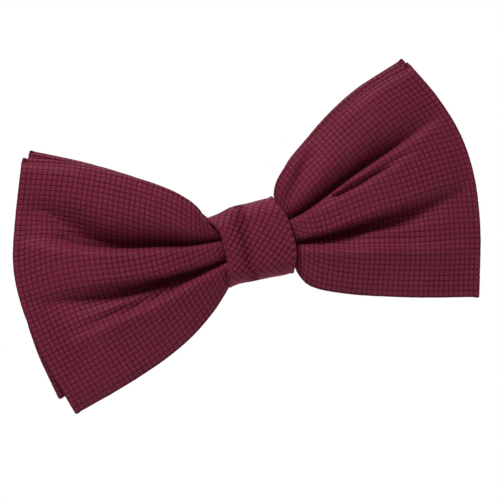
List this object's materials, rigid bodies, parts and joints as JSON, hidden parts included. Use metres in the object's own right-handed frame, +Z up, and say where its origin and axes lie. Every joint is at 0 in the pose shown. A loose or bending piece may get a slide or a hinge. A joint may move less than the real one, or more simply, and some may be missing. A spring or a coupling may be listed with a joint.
{
  "type": "bow tie",
  "caption": "Clip-on bow tie with two pleated fabric tiers, a wrapped knot and a double-ended spring clip behind it.",
  "frame": {"origin": "middle of the knot's rear face, which rests on the shirt placket", "axes": "+X along the bow towards the right wing as seen from the front, +Y out of the back towards the shirt, +Z up as worn"},
  "size_m": [0.1198, 0.0226, 0.0676],
  "materials": {
    "bow_fabric": "burgundy small check weave, soft satin sheen",
    "interlining": "off-white brushed interlining",
    "thread": "burgundy twisted polyester thread",
    "clip_steel": "bright nickel plate on pressed steel",
    "pin_steel": "riveted steel, satin",
    "spring_steel": "drawn spring wire, satin grey"
  },
  "bodies": {
    "bow": {"front_bow_cover": "bow_fabric", "back_bow_cover": "bow_fabric", "knot_wrap": "bow_fabric", "front_bow_interlining": "interlining", "back_bow_interlining": "interlining", "knot_interlining": "interlining", "loop_seam_stitches": "thread", "waist_binding": "thread", "knot_seam_stitches": "thread", "clip_tack_stitches": "thread", "clip_base": "clip_steel", "hinge_pin_left": "pin_steel", "hinge_pin_right": "pin_steel", "torsion_spring_left": "spring_steel", "torsion_spring_right": "spring_steel"},
    "jaw_left": {"clip_jaw_left": "clip_steel"},
    "jaw_right": {"clip_jaw_right": "clip_steel"}
  },
  "joints": [
    {"name": "jaw_left_hinge", "type": "hinge", "parent": "bow", "child": "jaw_left", "pos_m": [-0.018, 0.0009, 0], "axis": [0, 0, -1], "range_deg": [0, 30], "deforming": ["torsion_spring_left"]},
    {"name": "jaw_right_hinge", "type": "hinge", "parent": "bow", "child": "jaw_right", "pos_m": [0.018, 0.0009, 0], "axis": [0, 0, 1], "range_deg": [0, 30], "deforming": ["torsion_spring_right"]}
  ]
}
